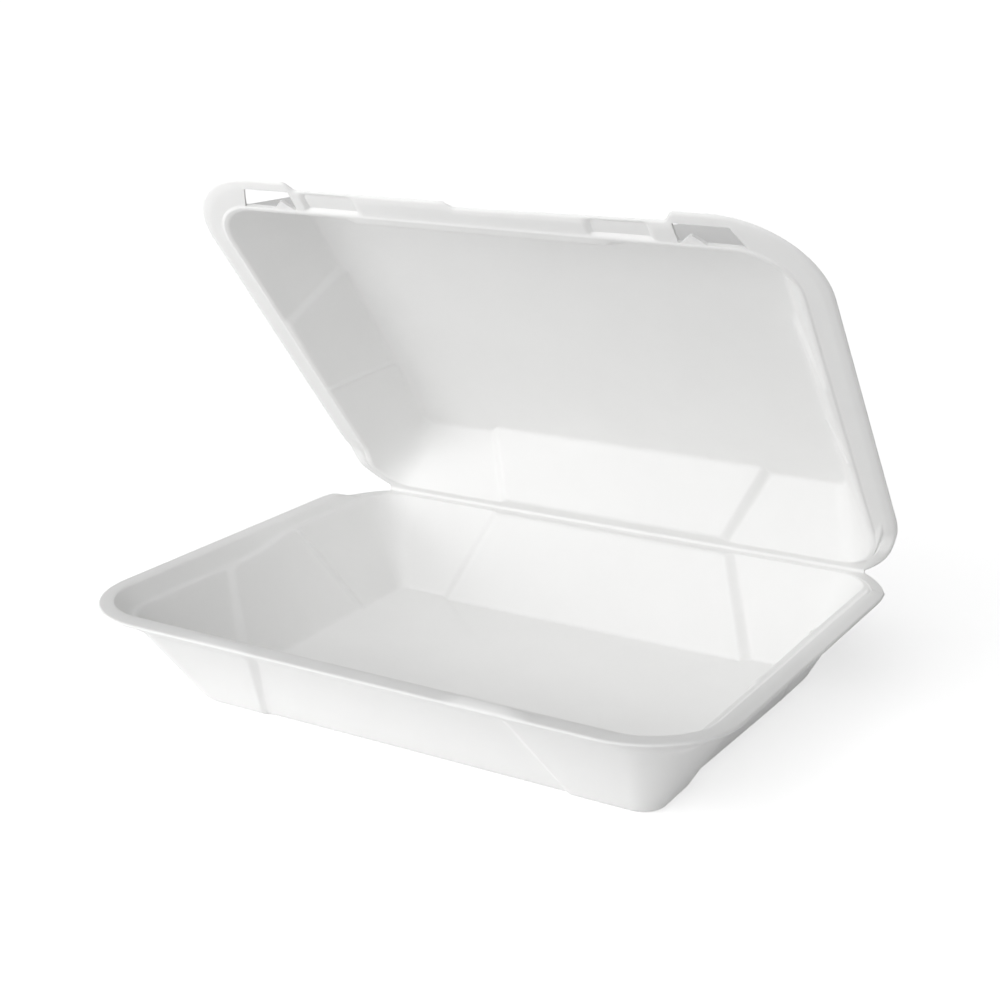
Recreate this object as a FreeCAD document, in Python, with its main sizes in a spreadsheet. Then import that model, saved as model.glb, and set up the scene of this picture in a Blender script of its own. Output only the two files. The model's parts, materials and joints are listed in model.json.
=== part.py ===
import FreeCAD, Part
import os
import Sketcher

# Foam clamshell container: a base tray and a lid, each thermoformed from the same sheet and
# joined by a living hinge along the rear. Millimetres, +Z up, origin at the middle of the
# underside of the tray, hinge line parallel to X at the rear (+Y), opening towards the front.

# Sizes that a designer would set, each written once
sizeTable = {
    # Foot of the tray, the outline that stands on the table
    "footLength": 181.0,
    "footDepth": 130.5,
    "wallCorner": 12.0,
    "footInset": 1.6,
    "footRise": 1.8,
    # Hinge line: behind the foot, above the table
    "hingeSetback": 15.0,
    "hingeHeight": 37.3,
    "hingeLength": 206.0,
    "hingeClearance": 0.15,
    # Foam sheet
    "wallSpread": 2.65,
    "floorThickness": 2.2,
    "rimThickness": 2.0,
    # Mouth of the tray, the top inner edge of its walls, measured in from the lip
    "lipSideWidth": 12.0,
    "lipFrontWidth": 14.1,
    "mouthSetback": 3.5,
    "shelfHeight": 36.8,
    # Lowered ledge round the front part, and the band that rises from it to the lip
    "ledgeHeight": 34.0,
    "ledgeGrowth": 0.5,
    "shelfGrowth": 1.8,
    "bandGrowth": 5.2,
    "bandFootHeight": 30.0,
    "bandFootShrink": 0.9,
    "bandElbowHeight": 33.6,
    "bandElbowGrowth": 3.4,
    "bandHeadGrowth": 7.4,
    "ledgeRampFoot": 98.0,
    "ledgeRampHead": 40.0,
    # Lip of the tray
    "lipHeight": 39.6,
    "lipLength": 238.0,
    "lipDepth": 181.0,
    "lipCorner": 34.0,
    "rearCornerDepth": 33.0,
    "dropStart": 24.0,
    "dropEnd": 17.0,
    "lipEdgeBreak": 0.8,
    # Pleated panels: the middle of each wall is set in between two slanting creases
    "footPleatInset": 2.4,
    "mouthPleatInset": 1.0,
    "footPleatHalf": 63.5,
    "mouthPleatHalf": 49.0,
    "footPleatSlope": 6.0,
    "mouthPleatSlope": 4.0,
    "sidePleatSetback": 82.0,
    "footSidePleatHalf": 36.0,
    "mouthSidePleatHalf": 20.0,
    # Catch beads on the front lip of the tray
    "catchInner": 31.0,
    "catchLength": 36.0,
    "catchInnerRamp": 4.0,
    "catchOuterRamp": 14.0,
    "catchHeight": 3.0,
    "catchWidth": 4.3,
    "catchEdge": 1.5,
    # Lid, measured from the hinge line in its closed position
    "lidOpening": 50.1,
    "lidMouthGrowth": 0.3,
    "lidMouthRearInset": 0.5,
    "lidMouthFrontInset": 0.4,
    "lidRingBottom": 1.5,
    "lidPanelLength": 182.0,
    "lidPanelSetback": 15.7,
    "lidPanelDepth": 131.3,
    "lidPanelHeight": 25.6,
    "lidTopThickness": 2.2,
    "lidTopGrowth": 1.4,
    "lidPanelPleatHalf": 57.0,
    "lidMouthPleatHalf": 46.0,
    "lidPanelSidePleatHalf": 27.0,
    "lidMouthSidePleatHalf": 19.0,
    # Flange of the lid, which closes down on the lip
    "lidFlangeBottom": 2.65,
    "lidFlangeSideInset": 0.5,
    "lidFlangeFrontInset": 1.0,
    "lidDropStart": 24.0,
    "lidDropEnd": 14.0,
    # Front edge of the flange: set back between the corners, with one step beside the middle
    "catchClearance": 0.5,
    "cornerTabSlant": 3.0,
    "latchStepDepth": 2.5,
    "latchStepPosition": 8.0,
    "latchStepSlant": 3.0,
    # Slots in the corner tabs, each with a pointed tooth on its rear edge
    "slotCornerSetback": 25.0,
    "slotSetback": 0.25,
    "slotWidth": 6.0,
    "slotSlant": 3.0,
    "toothInner": 3.5,
    "toothWidth": 7.0,
    "toothHeight": 3.6,
}

document = FreeCAD.newDocument("clamshell")
sheet = document.addObject("Spreadsheet::Sheet", "sizes")
for row, (alias, number) in enumerate(sizeTable.items(), start=1):
    sheet.set("A%d" % row, alias)
    sheet.set("B%d" % row, str(number))
    sheet.setAlias("B%d" % row, alias)
document.recompute()


# A length that carries both its number and the expression that the sketches are bound to
class Measure:
    def __init__(self, value, text):
        self.value = value
        self.text = text

    def __add__(self, other):
        return Measure(self.value + other.value, "(%s + %s)" % (self.text, other.text))

    def __sub__(self, other):
        return Measure(self.value - other.value, "(%s - %s)" % (self.text, other.text))

    def __neg__(self):
        return Measure(-self.value, "(-1 * %s)" % self.text)

    def __mul__(self, other):
        return Measure(self.value * other.value, "(%s * %s)" % (self.text, other.text))

    def __truediv__(self, other):
        return Measure(self.value / other.value, "(%s / %s)" % (self.text, other.text))

    def half(self):
        return Measure(self.value / 2, "(%s / 2)" % self.text)


def size(alias):
    return Measure(float(sheet.get(alias)), "sizes." + alias)


nothing = Measure(0.0, "0")
straight = None


def originPlane(body, role):
    return next(plane for plane in body.Origin.OriginFeatures if plane.Role == role)


# Edges of a closed loop through the nodes. A node is (x, y, edge), where edge tells how the
# loop goes on to the next node: straight, or an arc with that radius
def loopEdges(sketch, nodes):
    first = sketch.GeometryCount
    count = len(nodes)
    for index, (x, y, edge) in enumerate(nodes):
        nextX, nextY, _ = nodes[(index + 1) % count]
        start = FreeCAD.Vector(x.value, y.value, 0)
        end = FreeCAD.Vector(nextX.value, nextY.value, 0)
        if edge is straight:
            sketch.addGeometry(Part.LineSegment(start, end), False)
        else:
            chord = end - start
            reach = (edge.value ** 2 - (chord.Length / 2) ** 2) ** 0.5
            outward = FreeCAD.Vector(chord.y, -chord.x, 0).normalize()
            middle = (start + end) / 2 + outward * (edge.value - reach)
            sketch.addGeometry(Part.Arc(start, middle, end), False)
    for index in range(count):
        following = first + (index + 1) % count
        sketch.addConstraint(Sketcher.Constraint("Coincident", first + index, 2, following, 1))
    return first


# Ties a node to the sketch axes, and an arc to its radius
def bindNode(sketch, geometry, x, y, edge):
    for kind, measure in (("DistanceX", x), ("DistanceY", y)):
        if measure.value >= 0:
            constraint = Sketcher.Constraint(kind, -1, 1, geometry, 1, measure.value)
        else:
            constraint = Sketcher.Constraint(kind, geometry, 1, -1, 1, -measure.value)
            measure = -measure
        index = sketch.addConstraint(constraint)
        sketch.setExpression("Constraints[%d]" % index, measure.text)
    if edge is not straight:
        index = sketch.addConstraint(Sketcher.Constraint("Radius", geometry, edge.value))
        sketch.setExpression("Constraints[%d]" % index, edge.text)


def newSketch(body, name, role, height=nothing):
    sketch = body.newObject("Sketcher::SketchObject", name)
    sketch.AttachmentSupport = [(originPlane(body, role), "")]
    sketch.MapMode = "FlatFace"
    if height is not nothing:
        offset = FreeCAD.Vector(0, 0, height.value)
        sketch.AttachmentOffset = FreeCAD.Placement(offset, FreeCAD.Rotation())
        sketch.setExpression("AttachmentOffset.Base.z", height.text)
    return sketch


# Closed loop given in full
def drawLoop(sketch, nodes):
    first = loopEdges(sketch, nodes)
    for index, (x, y, edge) in enumerate(nodes):
        bindNode(sketch, first + index, x, y, edge)


# Loop that crosses the middle plane: its right-hand half is given and mirrored to the left
def drawMirroredLoop(sketch, rightNodes):
    count = len(rightNodes)
    leftNodes = []
    for index in range(count - 1, -1, -1):
        x, y, _ = rightNodes[index]
        edge = rightNodes[index - 1][2] if index > 0 else straight
        leftNodes.append((-x, y, edge))
    first = loopEdges(sketch, rightNodes + leftNodes)
    for index, (x, y, edge) in enumerate(rightNodes):
        bindNode(sketch, first + index, x, y, edge)
        mirror = first + 2 * count - 1 - index
        sketch.addConstraint(Sketcher.Constraint("Symmetric", first + index, 1, mirror, 1, -2))
        if edge is not straight:
            twin = first + 2 * count - 2 - index
            sketch.addConstraint(Sketcher.Constraint("Equal", first + index, twin))


# Rounded rectangle, front towards -Y
def plainOutline(body, name, height, halfLength, front, back, corner):
    sketch = newSketch(body, name, "XY_Plane", height)
    drawMirroredLoop(sketch, [
        (halfLength - corner, front, corner),
        (halfLength, front + corner, straight),
        (halfLength, back - corner, corner),
        (halfLength - corner, back, straight),
    ])
    return sketch


# Rounded rectangle whose four sides step in along their middle panels
def pleatedOutline(body, name, height, halfLength, front, back, corner, pleats):
    longHalf, sideMiddle, sideHalf, slope, inset = pleats
    sideFront = sideMiddle - sideHalf
    sideBack = sideMiddle + sideHalf
    sketch = newSketch(body, name, "XY_Plane", height)
    drawMirroredLoop(sketch, [
        (longHalf, front + inset, straight),
        (longHalf + slope, front, straight),
        (halfLength - corner, front, corner),
        (halfLength, front + corner, straight),
        (halfLength, sideFront - slope, straight),
        (halfLength - inset, sideFront, straight),
        (halfLength - inset, sideBack, straight),
        (halfLength, sideBack + slope, straight),
        (halfLength, back - corner, corner),
        (halfLength - corner, back, straight),
        (longHalf + slope, back, straight),
        (longHalf, back - inset, straight),
    ])
    return sketch


def loft(body, kind, name, sections):
    feature = body.newObject("PartDesign::" + kind, name)
    feature.Profile = sections[0]
    feature.Sections = sections[1:]
    feature.Ruled = True


# Cut through the whole width of the body, from a side view
def sideCut(body, name, nodes):
    sketch = newSketch(body, name + "Profile", "YZ_Plane")
    drawLoop(sketch, nodes)
    cut = body.newObject("PartDesign::Pocket", name)
    cut.Profile = sketch
    cut.Type = "ThroughAll"
    cut.Midplane = True


hingeLine = size("footDepth").half() + size("hingeSetback")
spread = size("wallSpread")
lipHalf = size("lipLength").half()
mouthDepth = size("lipDepth") - size("lipFrontWidth") - size("mouthSetback")
cornerRadius = size("wallCorner")
# Cutting profiles start this far outside the rim
edgeMargin = cornerRadius


# Plan of a rim: front corners round, the rear ones curving in to the ends of the hinge
def rimPlan(body, name, height, halfLength, front, hinge, corner):
    sketch = newSketch(body, name, "XY_Plane", height)
    rise = size("rearCornerDepth")
    hingeHalf = size("hingeLength").half()
    run = halfLength - hingeHalf
    drawMirroredLoop(sketch, [
        (halfLength - corner, front, corner),
        (halfLength, front + corner, straight),
        (halfLength, hinge - rise, (rise * rise + run * run) / (run + run)),
        (hingeHalf, hinge, straight),
    ])
    return sketch


# Breaks the outer edge of a plate's top face
def brokenTop(body, plate, name):
    document.recompute()
    top = plate.Shape.BoundBox.ZMax
    edges = ["Edge%d" % number for number, edge in enumerate(plate.Shape.Edges, start=1)
             if edge.BoundBox.ZMin > top - plate.Length.Value / 2]
    chamfer = body.newObject("PartDesign::Chamfer", name)
    chamfer.Base = (plate, edges)
    chamfer.setExpression("Size", size("lipEdgeBreak").text)


# Base tray
def makeTray():
    body = document.addObject("PartDesign::Body", "base_tray")
    body.Label = "base_tray"
    gap = size("hingeClearance")
    hinge = hingeLine - gap
    lipTop = size("lipHeight")
    rim = size("rimThickness")
    hingeTop = size("hingeHeight") - gap
    hingeBottom = hingeTop - rim
    lipFront = hingeLine - size("lipDepth")

    # Rim plate, whose underside rises from the hinge level to the lip
    plate = body.newObject("PartDesign::Pad", "rimPlate")
    plate.Profile = rimPlan(body, "lipPlan", hingeBottom, lipHalf, lipFront, hinge,
                            size("lipCorner"))
    plate.setExpression("Length", (lipTop - hingeBottom).text)
    dropStart = hingeLine - size("dropStart")
    dropEnd = hingeLine - size("dropEnd")
    frontward = lipFront - edgeMargin
    brokenTop(body, plate, "lipEdge")
    sideCut(body, "lipUnderside", [
        (frontward, hingeBottom - edgeMargin, straight),
        (dropEnd, hingeBottom - edgeMargin, straight),
        (dropEnd, hingeBottom, straight),
        (dropStart, lipTop - rim, straight),
        (frontward, lipTop - rim, straight),
    ])

    # Walls outside, from the foot to the mouth, with the slanting pleats
    footHalf = size("footLength").half()
    footBack = size("footDepth").half()
    footFront = -footBack
    sideMiddle = hingeLine - size("sidePleatSetback")
    footPleats = (size("footPleatHalf"), sideMiddle, size("footSidePleatHalf"),
                  size("footPleatSlope"), size("footPleatInset"))
    mouthPleats = (size("mouthPleatHalf"), sideMiddle, size("mouthSidePleatHalf"),
                   size("mouthPleatSlope"), size("mouthPleatInset"))
    footInset = size("footInset")
    mouthHalf = lipHalf - size("lipSideWidth")
    mouthBack = hingeLine - size("mouthSetback")
    mouthFront = mouthBack - mouthDepth
    outerCorner = cornerRadius + spread
    shelf = size("shelfHeight")
    loft(body, "AdditiveLoft", "outerWalls", [
        pleatedOutline(body, "footprint", nothing, footHalf - footInset, footFront + footInset,
                       footBack - footInset, outerCorner, footPleats),
        pleatedOutline(body, "heel", size("footRise"), footHalf, footFront, footBack,
                       outerCorner, footPleats),
        pleatedOutline(body, "mouthOutside", shelf, mouthHalf + spread, mouthFront - spread,
                       mouthBack + spread, outerCorner, mouthPleats),
    ])

    # Flare under the lip
    shrink = size("bandFootShrink")
    elbow = size("bandElbowGrowth")
    head = size("bandHeadGrowth")
    loft(body, "AdditiveLoft", "flare", [
        plainOutline(body, "flareFoot", size("bandFootHeight"), mouthHalf - shrink,
                     mouthFront + shrink, mouthBack - shrink, cornerRadius),
        plainOutline(body, "flareElbow", size("bandElbowHeight"), mouthHalf + elbow,
                     mouthFront - elbow, mouthBack, cornerRadius + elbow),
        plainOutline(body, "flareHead", lipTop - rim, mouthHalf + head, mouthFront - head,
                     mouthBack, cornerRadius + head),
    ])

    # Rear end of the lip, dropped to the hinge level
    rear = hingeLine + edgeMargin
    sideCut(body, "rearDrop", [
        (dropStart, lipTop, straight),
        (dropEnd, hingeTop, straight),
        (rear, hingeTop, straight),
        (rear, lipTop + edgeMargin, straight),
        (dropStart, lipTop + edgeMargin, straight),
    ])

    # Hollow of the tray
    loft(body, "SubtractiveLoft", "hollow", [
        pleatedOutline(body, "floorEdge", size("floorThickness"), footHalf - spread,
                       footFront + spread, footBack - spread, cornerRadius, footPleats),
        pleatedOutline(body, "mouthInside", shelf, mouthHalf, mouthFront, mouthBack,
                       cornerRadius, mouthPleats),
    ])

    # Band between the ledge and the lip: lowered ledge in front, shelf along the rear
    above = lipTop + rim
    ledge = size("ledgeGrowth")
    band = size("bandGrowth")
    rampFoot = hingeLine - size("ledgeRampFoot")
    rampHead = hingeLine - size("ledgeRampHead")
    loft(body, "SubtractiveLoft", "ledgeCut", [
        plainOutline(body, "ledgeOutline", size("ledgeHeight"), mouthHalf + ledge,
                     mouthFront - ledge, rampFoot, cornerRadius),
        plainOutline(body, "ledgeHead", lipTop, mouthHalf + band, mouthFront - band, rampHead,
                     cornerRadius + band),
    ])
    loft(body, "SubtractiveLoft", "shelfCut", [
        plainOutline(body, "shelfOutline", shelf, mouthHalf + size("shelfGrowth"),
                     mouthFront - size("shelfGrowth"), mouthBack, cornerRadius),
        plainOutline(body, "shelfHead", lipTop, mouthHalf + band, mouthFront - band, mouthBack,
                     cornerRadius + band),
        plainOutline(body, "shelfClear", above, mouthHalf + band, mouthFront - band, mouthBack,
                     cornerRadius + band),
    ])

    # Catch beads: two long ridges on the front lip
    inside = size("catchInner")
    outside = inside + size("catchLength")
    beadTop = lipTop + size("catchHeight")
    beadBottom = lipTop - rim.half()
    beadBack = lipFront + size("catchEdge") + size("catchWidth")
    sketch = newSketch(body, "catchProfile", "XZ_Plane", -beadBack)
    bead = [
        (inside, beadBottom, straight),
        (outside, beadBottom, straight),
        (outside, lipTop, straight),
        (outside - size("catchOuterRamp"), beadTop, straight),
        (inside + size("catchInnerRamp"), beadTop, straight),
        (inside, lipTop, straight),
    ]
    drawLoop(sketch, bead)
    drawLoop(sketch, [(-x, y, edge) for x, y, edge in reversed(bead)])
    catch = body.newObject("PartDesign::Pad", "catchBeads")
    catch.Profile = sketch
    catch.setExpression("Length", size("catchWidth").text)
    return body


# Lid, drawn closed from the hinge line and then opened
def makeLid():
    body = document.addObject("PartDesign::Body", "lid")
    body.Label = "lid"
    gap = size("hingeClearance")
    rim = size("rimThickness")
    bottom = size("lidFlangeBottom")
    top = bottom + rim
    sideInset = size("lidFlangeSideInset")
    frontInset = size("lidFlangeFrontInset")
    front = frontInset - size("lipDepth")

    # Flange, level along the front and sides and dipping to the hinge at the rear
    plate = body.newObject("PartDesign::Pad", "flangePlate")
    plate.Profile = rimPlan(body, "flangePlan", gap, lipHalf - sideInset, front, -gap,
                            size("lipCorner") - frontInset)
    plate.setExpression("Length", (top - gap).text)
    brokenTop(body, plate, "flangeEdge")
    dropStart = -size("lidDropStart")
    dropEnd = -size("lidDropEnd")
    sideCut(body, "flangeDrop", [
        (dropStart, top, straight),
        (dropEnd, gap + rim, straight),
        (edgeMargin, gap + rim, straight),
        (edgeMargin, top + edgeMargin, straight),
        (dropStart, top + edgeMargin, straight),
    ])
    sideCut(body, "flangeUnderside", [
        (front - edgeMargin, -edgeMargin, straight),
        (dropEnd, -edgeMargin, straight),
        (dropEnd, gap, straight),
        (dropStart, bottom, straight),
        (front - edgeMargin, bottom, straight),
    ])

    # Walls and top panel, with a short skirt that drops inside the lip of the tray
    sideMiddle = -size("sidePleatSetback")
    mouthPleats = (size("lidMouthPleatHalf"), sideMiddle, size("lidMouthSidePleatHalf"),
                   size("mouthPleatSlope"), size("mouthPleatInset"))
    panelPleats = (size("lidPanelPleatHalf"), sideMiddle, size("lidPanelSidePleatHalf"),
                   size("footPleatSlope"), size("footPleatInset"))
    mouthHalf = lipHalf - size("lipSideWidth") + size("lidMouthGrowth")
    mouthBack = -size("mouthSetback") - size("lidMouthRearInset")
    mouthFront = size("lidMouthFrontInset") - size("mouthSetback") - mouthDepth
    panelHalf = size("lidPanelLength").half()
    panelBack = -size("lidPanelSetback")
    panelFront = panelBack - size("lidPanelDepth")
    panel = size("lidPanelHeight")
    growth = size("lidTopGrowth")
    outerCorner = cornerRadius + spread
    skirt = [mouthHalf + spread, mouthFront - spread, mouthBack + spread, outerCorner,
             mouthPleats]
    loft(body, "AdditiveLoft", "lidWalls", [
        pleatedOutline(body, "skirtBottom", size("lidRingBottom"), *skirt),
        pleatedOutline(body, "skirtTop", bottom, *skirt),
        pleatedOutline(body, "lidTop", panel + size("lidTopThickness"), panelHalf + growth,
                       panelFront - growth, panelBack + growth, outerCorner, panelPleats),
    ])
    mouth = [mouthHalf, mouthFront, mouthBack, cornerRadius, mouthPleats]
    loft(body, "SubtractiveLoft", "lidHollow", [
        pleatedOutline(body, "hollowBottom", nothing, *mouth),
        pleatedOutline(body, "hollowMouth", bottom, *mouth),
        pleatedOutline(body, "hollowTop", panel, panelHalf, panelFront, panelBack, cornerRadius,
                       panelPleats),
    ])

    # Front edge set back between the corner tabs
    tabInner = size("catchInner") + size("catchLength")
    tabOuter = tabInner + size("cornerTabSlant")
    beadBack = size("catchEdge") + size("catchWidth") - size("lipDepth")
    left = beadBack + size("catchClearance")
    right = left + size("latchStepDepth")
    step = size("latchStepPosition")
    sketch = newSketch(body, "latchOutline", "XY_Plane", bottom)
    drawLoop(sketch, [
        (-tabOuter, front - edgeMargin, straight),
        (tabOuter, front - edgeMargin, straight),
        (tabOuter, front, straight),
        (tabInner, right, straight),
        (size("latchStepSlant") - step, right, straight),
        (-step, left, straight),
        (-tabInner, left, straight),
        (-tabOuter, front, straight),
    ])
    latch = body.newObject("PartDesign::Pocket", "latchEdge")
    latch.Profile = sketch
    latch.Type = "ThroughAll"
    latch.Midplane = True

    # Slots with their teeth
    slotInner = tabOuter
    slotOuter = lipHalf - size("slotCornerSetback")
    root = mouthFront - spread - size("slotSetback")
    edge = root - size("slotWidth")
    toothStart = slotInner + size("toothInner")
    toothEnd = toothStart + size("toothWidth")
    slot = [
        (slotInner, edge, straight),
        (slotOuter - size("slotSlant"), edge, straight),
        (slotOuter, root, straight),
        (toothEnd, root, straight),
        ((toothStart + toothEnd).half(), root - size("toothHeight"), straight),
        (toothStart, root, straight),
        (slotInner, root, straight),
    ]
    sketch = newSketch(body, "slotOutline", "XY_Plane", bottom)
    drawLoop(sketch, slot)
    drawLoop(sketch, [(-x, y, corner) for x, y, corner in reversed(slot)])
    slots = body.newObject("PartDesign::Pocket", "latchSlots")
    slots.Profile = sketch
    slots.Type = "ThroughAll"
    slots.Midplane = True

    # Opened about the hinge line
    body.Placement = FreeCAD.Placement(
        FreeCAD.Vector(0, hingeLine.value, size("hingeHeight").value),
        FreeCAD.Rotation(FreeCAD.Vector(-1, 0, 0), size("lidOpening").value))
    body.setExpression("Placement.Base.y", hingeLine.text)
    body.setExpression("Placement.Base.z", size("hingeHeight").text)
    body.setExpression("Placement.Rotation.Angle", size("lidOpening").text)
    return body


parts = [makeTray(), makeLid()]
document.recompute()
for item in document.Objects:
    if "Invalid" in item.State or "Error" in item.State:
        raise RuntimeError("%s did not build" % item.Name)
os.makedirs("parts", exist_ok=True)
for part in parts:
    shape = part.Shape
    if shape.isNull() or not shape.isValid() or len(shape.Solids) != 1:
        raise RuntimeError("%s is not one valid solid" % part.Label)
    shape.exportStep("parts/%s.step" % part.Label)
    print(part.Label, round(shape.Volume), shape.BoundBox)
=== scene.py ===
import bpy
import bmesh
import json
import math
import numpy as np
from mathutils import Matrix, Vector


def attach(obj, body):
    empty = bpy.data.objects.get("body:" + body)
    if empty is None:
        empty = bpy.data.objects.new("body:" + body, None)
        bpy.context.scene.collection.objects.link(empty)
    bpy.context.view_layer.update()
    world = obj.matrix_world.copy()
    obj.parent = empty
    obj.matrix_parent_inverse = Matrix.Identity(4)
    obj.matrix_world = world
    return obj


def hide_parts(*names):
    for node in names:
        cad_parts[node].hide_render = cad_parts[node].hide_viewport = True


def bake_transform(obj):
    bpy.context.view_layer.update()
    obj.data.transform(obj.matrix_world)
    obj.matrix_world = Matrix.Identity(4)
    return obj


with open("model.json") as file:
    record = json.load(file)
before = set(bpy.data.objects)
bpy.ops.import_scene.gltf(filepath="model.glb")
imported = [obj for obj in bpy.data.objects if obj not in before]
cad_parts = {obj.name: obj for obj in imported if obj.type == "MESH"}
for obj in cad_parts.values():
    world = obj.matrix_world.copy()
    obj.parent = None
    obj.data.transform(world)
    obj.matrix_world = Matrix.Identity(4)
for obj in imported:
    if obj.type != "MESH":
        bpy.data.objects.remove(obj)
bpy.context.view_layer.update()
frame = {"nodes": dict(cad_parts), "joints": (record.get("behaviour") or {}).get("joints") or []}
print("frame loaded")

mm = 0.001                              # the dictionaries below are in millimetres
joint = frame["joints"][0]
hingeLine = Vector(joint["pos_m"])
opening = math.radians(-joint["range_deg"][0])      # how far the lid stands open

# columns of the mesh round a shell, on each stretch between creases
columns = {
    "long": (36, 8, 60, 8, 36),
    "short": (18, 8, 60, 8, 18),
    "corner": 20,
}

# Lengths lie along the hinge. Depths are measured forward from the hinge line. In an outline,
# half is half its length, and corner and rear are the radii of its front and rear corners.
tray = {
    "floor": {"half": 87.85, "front": 142.85, "back": 17.65, "corner": 8.0, "height": 2.2,
              "rear": 4.0},
    "mouth": {"half": 107.0, "front": 166.9, "back": 3.5, "corner": 17.0, "height": 36.8,
              "rear": 14.0},
    "heel": {"half": 90.5, "front": 145.5, "back": 15.0, "corner": 8.0, "height": 1.8},
    "lip": {"half": 119.0, "front": 179.6, "back": 0.15, "corner": 33.0, "height": 39.6},
    "wallTop": {"half": 109.65, "front": 169.55, "back": 0.85, "corner": 19.65, "height": 36.8},
    "wallShare": 0.81,                  # where the outer wall meets the underside of the lip
    "wallRoot": {"half": 110.4, "front": 170.3, "back": 1.6, "corner": 20.4, "height": 33.6,
                 "hingeHeight": 34.0},
    "footBevel": 1.6,
    "ledge": {"height": 34.0, "rear": 16.5},
    "ledgeRamp": (98.0, 62.0),          # where the ledge starts and ends its climb
    "ledgeLow": {"width": 0.5, "back": 0.4, "rise": 0.3},
    "ledgeHigh": {"width": 2.0, "back": 0.6, "rise": 0.15},
    "band": {"width": 5.2, "back": 1.2, "rise": -0.1},
    "rimThickness": 1.3,
    "rearDrop": (25.0, 15.5),           # where the lip falls to the hinge
    "hingeHeight": 37.15,
    # the rings of the lip: inset at the sides, in front and at the hinge, then the rise over
    # the lip in front and at the hinge, the rounding and the rows of the mesh
    "lipTop": ((5.0, 5.6, 1.9, 0.1, 0.0, 0.8, 3), (3.9, 4.4, 1.5, 0.15, 0.0, 0.7, 2),
               (2.0, 2.2, 0.9, 0.1, 0.0, 0.9, 3), (0.5, 0.5, 0.3, 0.0, 0.0, 0.4, 2),
               (0.0, 0.0, 0.0, -0.5, -0.5, 0.3, 2)),
    "lipUnder": ((0.4, 0.4, 0.2, 0.0, 0.0, 0.3, 2), (4.6, 6.7, 1.05, 0.0, 0.0, 1.5, 2)),
    "footPleat": (63.5, 4.6, 3.2),      # half width, width of the crease, depth
    "mouthPleat": (49.0, 4.4, 2.2),
    "footFrontPleat": (58.0, 2.6, 1.2),
    "mouthFrontPleat": (43.0, 4.6, 1.7),
    "footSidePleat": (36.0, 4.6, 1.9),
    "mouthSidePleat": (20.0, 4.4, 1.2),
    "catch": {"inner": 34.0, "rise": 9.0, "fall": 54.0, "outer": 68.0, "height": 1.3},
    "catchShares": (0.0, 1.0, 0.8, 0.2, 0.0),           # of the height, on each ring of lipTop
    "leftCatch": 0.35,                  # the left bead is hardly there
    "narrowing": 0.0084,                # the soft tray is pressed in a little on its left
    "shift": 1.0,
}

lid = {
    "panel": {"half": 91.0, "front": 147.0, "back": 15.7, "corner": 8.0, "height": 25.6,
              "rear": 6.0},
    "mouth": {"half": 107.3, "front": 165.0, "back": 4.0, "corner": 17.0, "height": 2.35,
              "rear": 15.0},
    "flange": {"half": 118.5, "front": 180.0, "back": 0.15, "corner": 33.0, "height": 2.65},
    "top": {"half": 92.4, "front": 148.4, "back": 14.3, "corner": 8.0, "height": 27.8},
    "rimThickness": 1.1,
    "rearDrop": (24.0, 14.0),
    "hingeHeight": 0.15,
    "panelPleat": (57.0, 4.8, 3.2),
    "mouthPleat": (46.0, 4.4, 2.2),
    "panelSidePleat": (27.0, 4.6, 1.9),
    "mouthSidePleat": (19.0, 4.4, 1.2),
    # rings round the mouth: growth at the sides and front and at the hinge, then the rise over
    # its place in front and at the hinge, the rounding and the rows of the mesh
    "mouthEdge": (0.0, 0.0, 0.4, 0.1, 1.2, 10),
    "skirt": (1.6, 0.8, 0.0, 0.0, 0.8, 2),
    "flangeRoot": (2.3, 1.2, 0.0, 0.0, 0.6, 2),
    "wallRoot": (1.7, 1.6, 0.1, 0.1, 1.2, 3),
    # rings of the flange: inset at the sides, share of the way from root to front edge, inset
    # at the hinge, and then as above
    "flangeUnder": ((5.4, 0.14, 1.8, 0.1, 0.0, 0.6, 2), (3.4, 0.68, 1.6, 0.1, 0.0, 1.0, 3),
                    (1.0, 0.92, 0.6, 0.55, 0.1, 1.0, 2), (0.0, 1.0, 0.0, 1.35, 1.0, 0.6, 2)),
    "flangeOver": ((0.8, 0.92, 0.3, 0.1, 0.0, 0.5, 2), (5.0, 0.40, 1.4, -0.2, 0.0, 1.5, 3)),
    "tab": (68.0, 71.9),                # where the front edge steps out to the corner tab
    "offset": 1.9,                      # tabs and slots lie a little to the right
    "leftDepth": 176.4,                 # depth of the front edge, left of its middle step
    "rightDepth": 174.1,
    "rightSlant": 0.024,
    "step": (-8.0, -4.5),
    "slot": {"inner": 71.0, "outer": 93.5, "root": 167.3, "width": 8.4, "slant": 4.0},
    "cut": (-2, 8),                     # lowest and highest point of the slots' cutter
    "tooth": {"start": 1.0, "width": 8.5, "height": 3.6, "flat": 0.5},
    "recess": {"inner": 45.0, "outer": 63.0, "ramp": 2.2, "depth": 1.3},
    "recessedRings": 2,                 # of the flange's underside, from the root
    "lean": {"shift": 0.75, "narrowing": 0.0021},       # the soft lid stands a little askew
}

# ends of the hinge and the rear corners before them, and the share of an inset that moves each
rim = {"half": 103.0, "corner": 33.0, "halfShare": 0.6, "cornerShare": 0.8}
side = {"middle": 82.0, "ridgeHeight": 0.9, "ridgeWidth": 1.6}      # middle: of the side panels
meshing = {
    "cornerRows": 5,                    # rows of one rounding
    "reachLimit": 0.46,                 # most of a stretch that one rounding may take
    "inside": 0.88,                     # the first ring inside a flat panel
    "panelShares": (0.75, 0.5, 0.25, 0.06),
    "weld": 0.01,
    "sharpAngle": 50,                   # degrees
}


def eased(value):
    value = np.clip(value, 0.0, 1.0)
    return value * value * (3.0 - 2.0 * value)


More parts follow.
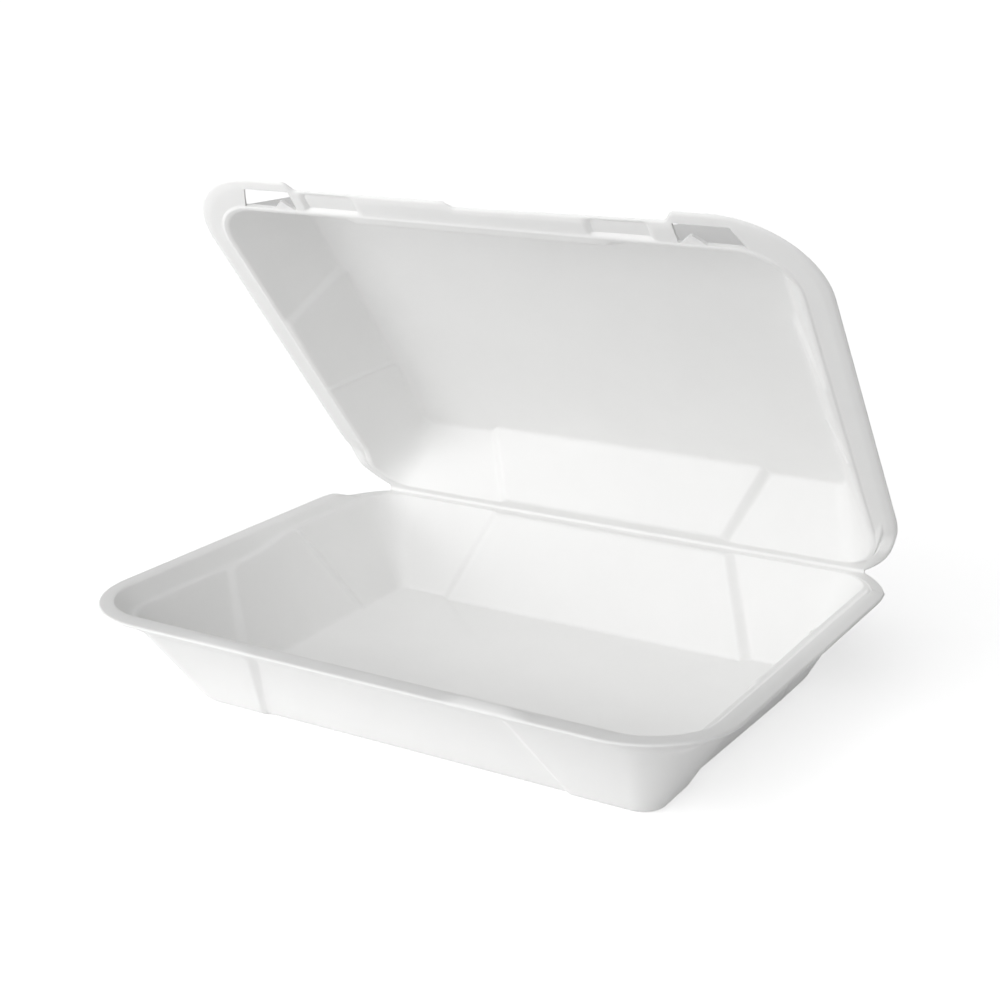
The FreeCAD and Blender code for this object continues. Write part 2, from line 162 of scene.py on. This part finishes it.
# Depth of a crease: full in the middle panel, none past the crease
def creased(along, pleat):
    half, width, depth = pleat
    return depth * (1.0 - eased((np.abs(along) - half) / width))


# The side panels are turned a little: all the depth lies at the front crease, and the rear one
# is a fine ridge, which plain rings don't have
def sideCreased(along, pleat):
    half, width, depth = pleat
    share = np.clip((half - along) / (2 * half), 0.0, 1.0)
    ridge = 1.0 - eased(np.abs(along - half) / side["ridgeWidth"])
    return creased(along, pleat) * share + ridge * min(depth, 1.0) * side["ridgeHeight"]


def spaced(knots, counts):
    runs = [np.linspace(a, b, n, endpoint=False) for a, b, n in zip(knots, knots[1:], counts)]
    return np.concatenate(runs)


# One ring round the shell, as x and y of every column. It runs along the front, up the right
# side, back along the hinge and down the left side.
def ringPlan(half, front, back, corner, longPleat, shortPleat, rear=None, frontPleat=None):
    frontPleat = frontPleat or longPleat
    longHalf, longWidth, _ = longPleat
    shortHalf, shortWidth, _ = shortPleat
    rearHalf, rearDepth = rear or (half - corner, corner)
    frontY = -front
    backY = -back
    turn = np.linspace(0.0, 1.0, columns["corner"], endpoint=False)
    outer = longHalf + longWidth
    frontHalf = frontPleat[0]
    frontOuter = frontHalf + frontPleat[1]
    frontX = spaced((corner - half, -frontOuter, -frontHalf, frontHalf, frontOuter,
                     half - corner), columns["long"])
    backX = spaced((rearHalf, outer, longHalf, -longHalf, -outer, -rearHalf), columns["long"])
    low = -side["middle"] - shortHalf
    high = -side["middle"] + shortHalf
    sideY = spaced((frontY + corner, low - shortWidth, low, high, high + shortWidth,
                    backY - rearDepth), columns["short"])
    quarter = turn * math.pi / 2
    cornerX = half - corner + corner * np.sin(quarter)
    cornerY = frontY + corner - corner * np.cos(quarter)
    run = half - rearHalf
    radius = (rearDepth ** 2 + run ** 2) / (2 * run)
    swing = turn * math.asin(min(1.0, rearDepth / radius))
    rearX = half - radius + radius * np.cos(swing)
    rearY = backY - rearDepth + radius * np.sin(swing)
    sideX = half - sideCreased(sideY + side["middle"], shortPleat)
    front = (frontX, frontY + creased(frontX, frontPleat))
    hingeSide = (backX, backY - creased(backX, longPleat))

    def mirrored(xs, ys, endX, endY):
        return -np.append(xs, endX)[:0:-1], np.append(ys, endY)[:0:-1]

    stretches = [front, (cornerX, cornerY), (sideX, sideY), (rearX, rearY), hingeSide,
                 mirrored(rearX, rearY, rearHalf, backY),
                 mirrored(sideX, sideY, half, backY - rearDepth),
                 mirrored(cornerX, cornerY, half, frontY + corner)]
    return np.stack([np.concatenate([s[axis] for s in stretches]) for axis in (0, 1)], axis=1)


# Ends of the hinge, and depth of the rear corners, of a ring that lies in from the rim
def rimRear(inset):
    return rim["half"] - rim["halfShare"] * inset, rim["corner"] - rim["cornerShare"] * inset


# A crease with no depth, which keeps the columns of the mesh in place
def plain(pleat):
    return pleat[:2] + (0.0,)


# A ring with its heights: one level in front, another at the hinge
def ring(plan, level, hingeLevel=None, drop=None, roundness=1.0, rows=2):
    heights = np.full(len(plan), float(level))
    if hingeLevel is not None:
        start, end = drop
        heights += (hingeLevel - level) * eased((plan[:, 1] + start) / (start - end))
    return {"points": np.column_stack([plan, heights]), "round": roundness, "rows": rows}


# Rounds every ring off over its own distance, and divides the stretches between them
def softened(rings):
    rows = [rings[0]["points"]]

    def stretch(target, count):
        last = rows[-1]
        for share in np.linspace(0.0, 1.0, count + 1)[1:-1]:
            rows.append(last + (target - last) * share)

    for before, here, after in zip(rings, rings[1:], rings[2:]):
        point = here["points"]
        toBefore = before["points"] - point
        toAfter = after["points"] - point
        lengths = [np.maximum(np.linalg.norm(v, axis=1, keepdims=True), 1e-6)
                   for v in (toBefore, toAfter)]
        reach = np.minimum(here["round"], meshing["reachLimit"] * np.minimum(*lengths))
        start = point + toBefore / lengths[0] * reach
        end = point + toAfter / lengths[1] * reach
        stretch(start, here["rows"])
        for share in np.linspace(0.0, 1.0, meshing["cornerRows"]):
            rows.append((1 - share) ** 2 * start + 2 * share * (1 - share) * point
                        + share ** 2 * end)
    stretch(rings[-1]["points"], rings[-1]["rows"])
    rows.append(rings[-1]["points"])
    return rows


# The ring inside the edge of a flat panel, drawn towards the middle of the panel
def insideOf(edge):
    points = edge["points"]
    centre = (points.min(axis=0) + points.max(axis=0)) / 2
    return {"points": centre + (points - centre) * meshing["inside"], "round": 1.0, "rows": 3}


# Rows that shrink from the end of a shell to the middle of its flat panel
def panelRows(end):
    centre = (end.min(axis=0) + end.max(axis=0)) / 2
    return [centre + (end - centre) * share for share in meshing["panelShares"]], centre


# Closed mesh through the rows, with a flat panel at both ends
def shellMesh(name, rows):
    firstRows, firstCentre = panelRows(rows[0])
    lastRows, lastCentre = panelRows(rows[-1])
    rows = firstRows[::-1] + rows + lastRows
    count = len(rows[0])
    faces = []
    for row in range(len(rows) - 1):
        for column in range(count):
            following = (column + 1) % count
            faces.append((row * count + column, (row + 1) * count + column,
                          (row + 1) * count + following, row * count + following))
    last = (len(rows) - 1) * count
    hub = len(rows) * count
    for column in range(count):
        following = (column + 1) % count
        faces.append((hub, column, following))
        faces.append((hub + 1, last + following, last + column))
    points = np.concatenate(rows + [firstCentre[None, :], lastCentre[None, :]])
    mesh = bpy.data.meshes.new(name)
    mesh.from_pydata((points * mm).tolist(), [], faces)
    mesh.update()
    welded = bmesh.new()
    welded.from_mesh(mesh)
    bmesh.ops.remove_doubles(welded, verts=welded.verts, dist=meshing["weld"] * mm)
    bmesh.ops.recalc_face_normals(welded, faces=welded.faces)
    welded.to_mesh(mesh)
    welded.free()
    mesh.shade_smooth()
    piece = bpy.data.objects.new(name, mesh)
    bpy.context.collection.objects.link(piece)
    return piece


# Pieces are drawn from the hinge line; this puts one where it belongs
def seated(piece, turn=0.0):
    move = Matrix.Translation(hingeLine) @ Matrix.Rotation(-turn, 4, "X")
    piece.data.transform(move)
    return piece


# Presses the left side of a shell in a little. The lean grows towards the front edge.
def pressed(piece, leanShift=0.0, leanNarrowing=0.0):
    mesh = piece.data
    points = np.empty(len(mesh.vertices) * 3)
    mesh.vertices.foreach_get("co", points)
    points = points.reshape(-1, 3)
    share = np.clip(-points[:, 1] / (lid["flange"]["front"] * mm), 0.0, 1.0)
    points[:, 0] *= 1.0 - tray["narrowing"] - leanNarrowing * share
    points[:, 0] += (tray["shift"] + leanShift * share) * mm
    mesh.vertices.foreach_set("co", points.ravel())
    mesh.update()


# Lower shell
def trayPiece():
    drop = tray["rearDrop"]
    mouthLong, mouthShort = tray["mouthPleat"], tray["mouthSidePleat"]
    plainLong, plainShort = plain(mouthLong), plain(mouthShort)
    footLong, footShort = tray["footPleat"], tray["footSidePleat"]
    footFront, mouthFront = tray["footFrontPleat"], tray["mouthFrontPleat"]
    floor, mouth, heel, lip = (tray[k] for k in ("floor", "mouth", "heel", "lip"))
    ledge, band, bevel = tray["ledge"], tray["band"], tray["footBevel"]

    def mixed(low, high, share):
        return tuple(a + (b - a) * share for a, b in zip(low, high))

    # plan of the inner wall at a share of the way from the floor up to the mouth
    def wallPlan(share, longs, shorts):
        mix = {k: floor[k] + (mouth[k] - floor[k]) * share for k in floor}
        return ringPlan(mix["half"], mix["front"], mix["back"], mix["corner"], longs, shorts,
                        rear=(mix["half"] - mix["rear"], mix["rear"]),
                        frontPleat=mixed(footFront, mouthFront, share))

    # plan round the mouth, a little wider, with no creases
    def mouthPlan(width, back, rear=None):
        return ringPlan(mouth["half"] + width, mouth["front"] + width, mouth["back"] - back,
                        mouth["corner"] + width, plainLong, plainShort, rear)

    # the ledge climbs towards the hinge, so its two rings are mixed column by column
    def climbing(low, high, roundness, rows):
        start, end = tray["ledgeRamp"]
        share = eased((low["points"][:, 1] + start) / (start - end))[:, None]
        points = low["points"] + (high["points"] - low["points"]) * share
        return {"points": points, "round": roundness, "rows": rows}

    def lipRing(row, level, hingeLevel):
        inset, frontInset, backInset, rise, hingeRise, roundness, rows = row
        plan = ringPlan(lip["half"] - inset, lip["front"] - frontInset, lip["back"] + backInset,
                        lip["corner"] - inset, plainLong, plainShort, rimRear(inset))
        return ring(plan, level + rise, hingeLevel + hingeRise, drop, roundness, rows)

    # plan of the outer wall near the foot, a little in from the heel
    def heelPlan(inset):
        return ringPlan(heel["half"] - inset, heel["front"] - inset, heel["back"] + inset,
                        heel["corner"], footLong, footShort, frontPleat=footFront)

    share = (ledge["height"] - floor["height"]) / (mouth["height"] - floor["height"])
    lowEdge = ring(wallPlan(share, mixed(footLong, mouthLong, share),
                            mixed(footShort, mouthShort, share)), ledge["height"])
    highEdge = ring(wallPlan(1.0, mouthLong, mouthShort), mouth["height"])
    low, high = tray["ledgeLow"], tray["ledgeHigh"]
    rear = (mouth["half"] + high["width"] - ledge["rear"], ledge["rear"])
    lowOut = ring(mouthPlan(low["width"], low["back"], rear), ledge["height"] + low["rise"])
    highOut = ring(mouthPlan(high["width"], high["back"], rear), mouth["height"] + high["rise"])
    top, hingeTop = lip["height"], tray["hingeHeight"]
    under, hingeUnder = top - tray["rimThickness"], hingeTop - tray["rimThickness"]
    root, wallTop, wallShare = tray["wallRoot"], tray["wallTop"], tray["wallShare"]
    outer = {k: heel[k] + (wallTop[k] - heel[k]) * wallShare for k in heel}
    rings = [ring(wallPlan(0.0, footLong, footShort), floor["height"], roundness=1.5, rows=3),
             climbing(lowEdge, highEdge, roundness=1.6, rows=12),
             climbing(lowOut, highOut, roundness=1.4, rows=2),
             ring(mouthPlan(band["width"], band["back"]), top + band["rise"],
                  hingeTop + band["rise"], drop, roundness=1.0, rows=4)]
    crown = [lipRing(row, top, hingeTop) for row in tray["lipTop"]]
    rings += crown
    rings += [lipRing(row, under, hingeUnder) for row in tray["lipUnder"]]
    rings += [ring(ringPlan(root["half"], root["front"], root["back"], root["corner"], plainLong,
                            plainShort), root["height"], root["hingeHeight"], drop,
                   roundness=2.0, rows=3),
              ring(ringPlan(outer["half"], outer["front"], outer["back"], outer["corner"],
                            mixed(footLong, mouthLong, wallShare),
                            mixed(footShort, mouthShort, wallShare),
                            frontPleat=mixed(footFront, mouthFront, wallShare)),
                   outer["height"], roundness=2.5, rows=3),
              ring(heelPlan(0.0), heel["height"], roundness=1.4, rows=12),
              ring(heelPlan(bevel), 0.0, roundness=1.2, rows=2)]
    rings = [insideOf(rings[0])] + rings + [insideOf(rings[-1])]

    # catch beads, raised out of the rings on the crown of the front lip
    catch = tray["catch"]
    for item, amount in zip(crown, tray["catchShares"]):
        points = item["points"]
        across = np.abs(points[:, 0])
        rise = eased((across - catch["inner"]) / catch["rise"])
        fall = eased((catch["outer"] - across) / (catch["outer"] - catch["fall"]))
        inFront = points[:, 1] < -mouth["front"]
        share = np.where(points[:, 0] < 0, tray["leftCatch"], 1.0)
        points[:, 2] += catch["height"] * amount * rise * fall * inFront * share
    for item in rings:
        item["points"][:, 2] -= hingeLine.z / mm
    piece = shellMesh("trayShell", softened(rings))
    pressed(piece)
    return seated(piece)


# Depth of the flange's front edge: long corner tabs, and two shorter stretches between
def edgeDepth(x):
    tabInner, tabOuter = lid["tab"]
    stepStart, stepEnd = lid["step"]
    right = lid["rightDepth"] + lid["rightSlant"] * np.clip(x, 0.0, tabOuter)
    middle = lid["leftDepth"] + (right - lid["leftDepth"]) * eased(
        (x - stepStart) / (stepEnd - stepStart))
    return middle + (lid["flange"]["front"] - middle) * eased(
        (np.abs(x - lid["offset"]) - tabInner) / (tabOuter - tabInner))


# Upper shell, drawn closed and then opened
def lidPiece():
    flange, mouth, panel, top = (lid[k] for k in ("flange", "mouth", "panel", "top"))
    drop = lid["rearDrop"]
    low = lid["hingeHeight"]
    high = low + lid["rimThickness"]
    under = flange["height"]
    over = under + lid["rimThickness"]
    mouthCreases = lid["mouthPleat"], lid["mouthSidePleat"]
    panelCreases = lid["panelPleat"], lid["panelSidePleat"]
    noCreases = plain(lid["mouthPleat"]), plain(lid["mouthSidePleat"])
    root = mouth["front"] + lid["flangeRoot"][0]
    frontCount = sum(columns["long"])

    def grown(part, amount, backAmount, creases):
        half = part["half"] + amount
        rear = part.get("rear", part["corner"]) + amount
        return ringPlan(half, part["front"] + amount, part["back"] - backAmount,
                        part["corner"] + amount, *creases, rear=(half - rear, rear))

    def mouthRing(row, creases, level, hingeLevel):
        amount, backAmount, rise, hingeRise, roundness, rows = row
        return ring(grown(mouth, amount, backAmount, creases), level + rise,
                    hingeLevel + hingeRise, drop, roundness, rows)

    def flangeRing(row, level, hingeLevel):
        inset, share, backInset, rise, hingeRise, roundness, rows = row
        plan = ringPlan(flange["half"] - inset, root + (flange["front"] - root) * share,
                        flange["back"] + backInset, flange["corner"] - inset, *noCreases,
                        rimRear(inset))
        across = plan[:frontCount, 0]
        plan[:frontCount, 1] = -(root + (edgeDepth(across) - root) * share)
        return ring(plan, level + rise, hingeLevel + hingeRise, drop, roundness, rows)

    underside = [flangeRing(row, under, low) for row in lid["flangeUnder"]]

    # shallow recesses beside the corner tabs, over the catch beads of the tray
    recess = lid["recess"]
    for item in underside[:lid["recessedRings"]]:
        points = item["points"]
        distance = np.abs(points[:, 0])
        share = (eased((distance - recess["inner"] + recess["ramp"]) / recess["ramp"])
                 * eased((recess["outer"] + recess["ramp"] - distance) / recess["ramp"]))
        points[:, 2] += recess["depth"] * share * (points[:, 1] < -mouth["front"])

    rings = [ring(grown(panel, 0.0, 0.0, panelCreases), panel["height"], roundness=1.6, rows=3),
             mouthRing(lid["mouthEdge"], mouthCreases, mouth["height"], low),
             mouthRing(lid["skirt"], noCreases, mouth["height"], low),
             mouthRing(lid["flangeRoot"], noCreases, under, low)]
    rings += underside
    rings += [flangeRing(row, over, high) for row in lid["flangeOver"]]
    rings += [mouthRing(lid["wallRoot"], mouthCreases, over, high),
              ring(grown(top, 0.0, 0.0, panelCreases), top["height"], roundness=3.0, rows=10)]
    rings = [insideOf(rings[0])] + rings + [insideOf(rings[-1])]
    piece = shellMesh("lidShell", softened(rings))
    cutSlots(piece)
    pressed(piece, lid["lean"]["shift"], lid["lean"]["narrowing"])
    return seated(piece, opening)


# Outline of the right-hand slot with the tooth on its rear edge
def slotOutline():
    slot, tooth = lid["slot"], lid["tooth"]
    root = -slot["root"]
    edge = root - slot["width"]
    start = slot["inner"] + tooth["start"]
    end = start + tooth["width"]
    tip = (start + end) / 2
    return [(slot["inner"], edge), (slot["outer"] - slot["slant"], edge),
            (slot["outer"], root), (end, root), (tip + tooth["flat"], root - tooth["height"]),
            (tip - tooth["flat"], root - tooth["height"]), (start, root), (slot["inner"], root)]


def cutSlots(piece):
    bottom, top = lid["cut"]
    cutter = bmesh.new()
    for sign in (1, -1):
        outline = [(sign * x + lid["offset"], y) for x, y in slotOutline()]
        low = [cutter.verts.new((x * mm, y * mm, bottom * mm)) for x, y in outline]
        high = [cutter.verts.new((x * mm, y * mm, top * mm)) for x, y in outline]
        cutter.faces.new(low)
        cutter.faces.new(high)
        for index in range(len(low)):
            after = (index + 1) % len(low)
            cutter.faces.new((low[index], low[after], high[after], high[index]))
    bmesh.ops.recalc_face_normals(cutter, faces=cutter.faces)
    mesh = bpy.data.meshes.new("slotCutter")
    cutter.to_mesh(mesh)
    cutter.free()
    tool = bpy.data.objects.new("slotCutter", mesh)
    bpy.context.collection.objects.link(tool)
    cut = piece.modifiers.new("slots", "BOOLEAN")
    cut.operation = "DIFFERENCE"
    cut.solver = "EXACT"
    cut.object = tool
    bpy.context.view_layer.update()
    graph = bpy.context.evaluated_depsgraph_get()
    result = bpy.data.meshes.new_from_object(piece.evaluated_get(graph))
    piece.modifiers.remove(cut)
    piece.data = result
    bpy.data.objects.remove(tool)
    result.set_sharp_from_angle(angle=math.radians(meshing["sharpAngle"]))


web = {
    "half": 102.6,
    "middle": 1.15,                     # mid-thickness of either rim, from the hinge line
    "bend": 0.8,                        # how far from the hinge line it starts to bend
    "reach": 2.6,                       # how far it runs into each shell
    "thickness": 1.5,
    "crease": 0.9,                      # thickness at the crease
    "bow": 0.55,                        # how far the crease stands out behind
    "columns": 120,
    "rows": 10,
}


# Strip of foam that joins the two shells, drawn bent to the lid's present opening
def hingeWeb():
    arms = []
    for turn, sign in ((0.0, -1), (opening, 1)):
        y, z = -web["reach"], sign * web["middle"]
        arms.append(np.array([y * math.cos(turn) + z * math.sin(turn),
                              -y * math.sin(turn) + z * math.cos(turn)]))
    outward = -(arms[0] + arms[1])
    crease = outward / np.linalg.norm(outward) * web["bow"]
    shares = np.linspace(0.0, 1.0, web["rows"])
    line = [(1 - t) ** 2 * arms[0] + 2 * t * (1 - t) * crease * 2 + t ** 2 * arms[1]
            for t in shares]
    front, back = [], []
    for index, point in enumerate(line):
        ahead = line[min(index + 1, len(line) - 1)] - line[max(index - 1, 0)]
        normal = np.array([ahead[1], -ahead[0]]) / np.linalg.norm(ahead)
        pinch = 1.0 - math.sin(math.pi * shares[index])
        half = (web["crease"] + (web["thickness"] - web["crease"]) * pinch) / 2
        front.append(point - normal * half)
        back.append(point + normal * half)
    section = front + back[::-1]
    build = bmesh.new()
    loops = []
    for x in np.linspace(-web["half"], web["half"], web["columns"]):
        loops.append([build.verts.new((x * mm, y * mm, z * mm)) for y, z in section])
    for one, other in zip(loops, loops[1:]):
        for index in range(len(section)):
            after = (index + 1) % len(section)
            build.faces.new((one[index], one[after], other[after], other[index]))
    build.faces.new(loops[0])
    build.faces.new(loops[-1])
    bmesh.ops.recalc_face_normals(build, faces=build.faces)
    mesh = bpy.data.meshes.new("hingeWeb")
    build.to_mesh(mesh)
    build.free()
    mesh.shade_smooth()
    mesh.set_sharp_from_angle(angle=math.radians(meshing["sharpAngle"]))
    piece = bpy.data.objects.new("hingeWeb", mesh)
    bpy.context.collection.objects.link(piece)
    return seated(piece)


trayShell = trayPiece()
lidShell = lidPiece()
hingeStrip = hingeWeb()
print("shells built")

foam = {
    "color": (0.90, 0.90, 0.895),
    "shade": (0.86, 0.86, 0.855),       # the duller patches
    "roughness": (0.42, 0.56),
    "cell": 1.3,                        # mm, bead pattern in the skin
    "patch": 28.0,                      # mm, size of the duller patches
    "patchDetail": 4.0,
    "patchRoughness": 0.55,
    "beadShare": 0.6,                   # of the beads in the relief, beside the patches
    "dimple": 0.10,                     # strength of the relief
    "creaseDimple": 0.05,               # the same on the stretched hinge web
    "relief": 0.1,                      # mm, its depth
    "specular": 0.35,
}


# Skin of foam sheet: flattened beads, faint patches and a slightly uneven gloss
def foamSkinGroup():
    group = bpy.data.node_groups.new("foamSkin", "ShaderNodeTree")
    face = group.interface
    for name, default in (("Cell", foam["cell"]), ("Patch", foam["patch"])):
        socket = face.new_socket(name, in_out="INPUT", socket_type="NodeSocketFloat")
        socket.default_value = default
    face.new_socket("Color A", in_out="INPUT", socket_type="NodeSocketColor")
    face.new_socket("Color B", in_out="INPUT", socket_type="NodeSocketColor")
    face.new_socket("Color", in_out="OUTPUT", socket_type="NodeSocketColor")
    face.new_socket("Roughness", in_out="OUTPUT", socket_type="NodeSocketFloat")
    face.new_socket("Height", in_out="OUTPUT", socket_type="NodeSocketFloat")
    nodes, links = group.nodes, group.links
    enter = nodes.new("NodeGroupInput")
    leave = nodes.new("NodeGroupOutput")
    place = nodes.new("ShaderNodeTexCoord")

    def scaleOf(socket):
        divide = nodes.new("ShaderNodeMath")
        divide.operation = "DIVIDE"
        divide.inputs[0].default_value = 1.0 / mm
        links.new(socket, divide.inputs[1])
        return divide.outputs[0]

    beads = nodes.new("ShaderNodeTexVoronoi")
    beads.feature = "F1"
    links.new(place.outputs["Object"], beads.inputs["Vector"])
    links.new(scaleOf(enter.outputs["Cell"]), beads.inputs["Scale"])
    patches = nodes.new("ShaderNodeTexNoise")
    patches.inputs["Detail"].default_value = foam["patchDetail"]
    patches.inputs["Roughness"].default_value = foam["patchRoughness"]
    links.new(place.outputs["Object"], patches.inputs["Vector"])
    links.new(scaleOf(enter.outputs["Patch"]), patches.inputs["Scale"])
    blendColor = nodes.new("ShaderNodeMix")
    blendColor.data_type = "RGBA"
    links.new(patches.outputs["Fac"], blendColor.inputs["Factor"])
    links.new(enter.outputs["Color A"], blendColor.inputs[6])
    links.new(enter.outputs["Color B"], blendColor.inputs[7])
    gloss = nodes.new("ShaderNodeMapRange")
    gloss.inputs["To Min"].default_value = foam["roughness"][0]
    gloss.inputs["To Max"].default_value = foam["roughness"][1]
    links.new(patches.outputs["Fac"], gloss.inputs["Value"])
    relief = nodes.new("ShaderNodeMath")
    relief.operation = "MULTIPLY_ADD"
    relief.inputs[1].default_value = foam["beadShare"]
    links.new(beads.outputs["Distance"], relief.inputs[0])
    links.new(patches.outputs["Fac"], relief.inputs[2])
    links.new(blendColor.outputs[2], leave.inputs["Color"])
    links.new(gloss.outputs["Result"], leave.inputs["Roughness"])
    links.new(relief.outputs[0], leave.inputs["Height"])
    return group


foamSkin = foamSkinGroup()


def foamMaterial(name, strength):
    material = bpy.data.materials.new(name)
    material.use_nodes = True
    nodes, links = material.node_tree.nodes, material.node_tree.links
    shader = nodes["Principled BSDF"]
    skin = nodes.new("ShaderNodeGroup")
    skin.node_tree = foamSkin
    skin.inputs["Cell"].default_value = foam["cell"]
    skin.inputs["Patch"].default_value = foam["patch"]
    skin.inputs["Color A"].default_value = (*foam["shade"], 1)
    skin.inputs["Color B"].default_value = (*foam["color"], 1)
    bump = nodes.new("ShaderNodeBump")
    bump.inputs["Strength"].default_value = strength
    bump.inputs["Distance"].default_value = foam["relief"] * mm
    links.new(skin.outputs["Color"], shader.inputs["Base Color"])
    links.new(skin.outputs["Roughness"], shader.inputs["Roughness"])
    links.new(skin.outputs["Height"], bump.inputs["Height"])
    links.new(bump.outputs["Normal"], shader.inputs["Normal"])
    shader.inputs["Specular IOR Level"].default_value = foam["specular"]
    return material


shellFoam = foamMaterial("shellFoam", foam["dimple"])
creaseFoam = foamMaterial("creaseFoam", foam["creaseDimple"])
for piece, material in ((trayShell, shellFoam), (lidShell, shellFoam), (hingeStrip, creaseFoam)):
    piece.data.materials.clear()
    piece.data.materials.append(material)
for node in frame["nodes"].values():
    node.data.materials.clear()
    node.data.materials.append(shellFoam)

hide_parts("base_tray")
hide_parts("lid")
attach(trayShell, "tray_body")
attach(lidShell, "lid_body")
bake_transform(hingeStrip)
print("materials set")

studio = {
    "cameraPlace": (292.6, -496.7, 246.1),      # mm
    "cameraHeading": 30.71,                     # degrees round the object, and above it
    "cameraElevation": 17.03,
    "lens": 62.83,
    "sensor": 36.0,
    "clipEnd": 100.0,                           # m
    "ambient": 0.12,
    "key": {"from": (0.0, -0.80, 0.60), "strength": 1.95, "spread": 80},
    "left": {"place": (-550, -420, 150), "aim": (0, 0, 60), "size": 400, "watts": 1.6},
    "floorSize": 60000,
    "floorColor": (0.93, 0.93, 0.93),
    "floorGrain": (0.95, 0.95, 0.95),
    "floorGrainScale": 60.0,
    "floorRoughness": 0.9,
    "floorLift": 0.56,
    "floorGap": 0.1,                            # how far it lies under the object
}


def cameraSetup():
    data = bpy.data.cameras.new("camera")
    data.lens = studio["lens"]
    data.sensor_width = studio["sensor"]
    data.clip_end = studio["clipEnd"]
    camera = bpy.data.objects.new("camera", data)
    camera.location = Vector(studio["cameraPlace"]) * mm
    camera.rotation_euler = (math.radians(90 - studio["cameraElevation"]), 0.0,
                             math.radians(studio["cameraHeading"]))
    bpy.context.collection.objects.link(camera)
    bpy.context.scene.camera = camera


# One large soft light from the front and above
def keyLamp():
    key = studio["key"]
    data = bpy.data.lights.new("keyLamp", "SUN")
    data.energy = key["strength"]
    data.angle = math.radians(key["spread"])
    lamp = bpy.data.objects.new("keyLamp", data)
    lamp.rotation_euler = (-Vector(key["from"])).to_track_quat("-Z", "Y").to_euler()
    bpy.context.collection.objects.link(lamp)


# A smaller light near the left front, which fades towards the right
def sideLamp():
    left = studio["left"]
    data = bpy.data.lights.new("sideLamp", "AREA")
    data.shape = "DISK"
    data.size = left["size"] * mm
    data.energy = left["watts"]
    lamp = bpy.data.objects.new("sideLamp", data)
    lamp.location = Vector(left["place"]) * mm
    aim = Vector(left["aim"]) * mm - lamp.location
    lamp.rotation_euler = aim.to_track_quat("-Z", "Y").to_euler()
    bpy.context.collection.objects.link(lamp)


# One for the rays that look at the background: from the camera, mirrored or passing through
def lookingRay(nodes, links):
    path = nodes.new("ShaderNodeLightPath")
    total = path.outputs["Is Camera Ray"]
    for output in ("Is Glossy Ray", "Is Transmission Ray"):
        add = nodes.new("ShaderNodeMath")
        add.operation = "MAXIMUM"
        links.new(total, add.inputs[0])
        links.new(path.outputs[output], add.inputs[1])
        total = add.outputs[0]
    return total


# The world lights the object evenly and looks white to the camera
def worldSetup():
    world = bpy.data.worlds.new("studio")
    bpy.context.scene.world = world
    world.use_nodes = True
    nodes, links = world.node_tree.nodes, world.node_tree.links
    background = nodes["Background"]
    strength = nodes.new("ShaderNodeMapRange")
    strength.inputs["To Min"].default_value = studio["ambient"]
    strength.inputs["To Max"].default_value = 1.0
    links.new(lookingRay(nodes, links), strength.inputs["Value"])
    background.inputs["Color"].default_value = (1, 1, 1, 1)
    links.new(strength.outputs["Result"], background.inputs["Strength"])


# Pale floor: the lift brings its lit part up to white for the camera and leaves the shadow
def floorPiece():
    mesh = bpy.data.meshes.new("floor")
    half = studio["floorSize"] / 2 * mm
    mesh.from_pydata([(-half, -half, 0), (half, -half, 0), (half, half, 0), (-half, half, 0)],
                     [], [(0, 1, 2, 3)])
    floor = bpy.data.objects.new("floor", mesh)
    floor.location.z = -studio["floorGap"] * mm
    bpy.context.collection.objects.link(floor)
    material = bpy.data.materials.new("floorPaper")
    material.use_nodes = True
    nodes, links = material.node_tree.nodes, material.node_tree.links
    shader = nodes["Principled BSDF"]
    grain = nodes.new("ShaderNodeTexNoise")
    grain.inputs["Scale"].default_value = studio["floorGrainScale"]
    tint = nodes.new("ShaderNodeMix")
    tint.data_type = "RGBA"
    tint.inputs[6].default_value = (*studio["floorColor"], 1)
    tint.inputs[7].default_value = (*studio["floorGrain"], 1)
    links.new(grain.outputs["Fac"], tint.inputs["Factor"])
    links.new(tint.outputs[2], shader.inputs["Base Color"])
    shader.inputs["Roughness"].default_value = studio["floorRoughness"]
    lift = nodes.new("ShaderNodeMath")
    lift.operation = "MULTIPLY"
    lift.inputs[1].default_value = studio["floorLift"]
    shader.inputs["Emission Color"].default_value = (1, 1, 1, 1)
    links.new(lookingRay(nodes, links), lift.inputs[0])
    links.new(lift.outputs[0], shader.inputs["Emission Strength"])
    mesh.materials.append(material)


cameraSetup()
keyLamp()
sideLamp()
worldSetup()
floorPiece()
bpy.context.scene.view_settings.view_transform = "Standard"
print("studio set")
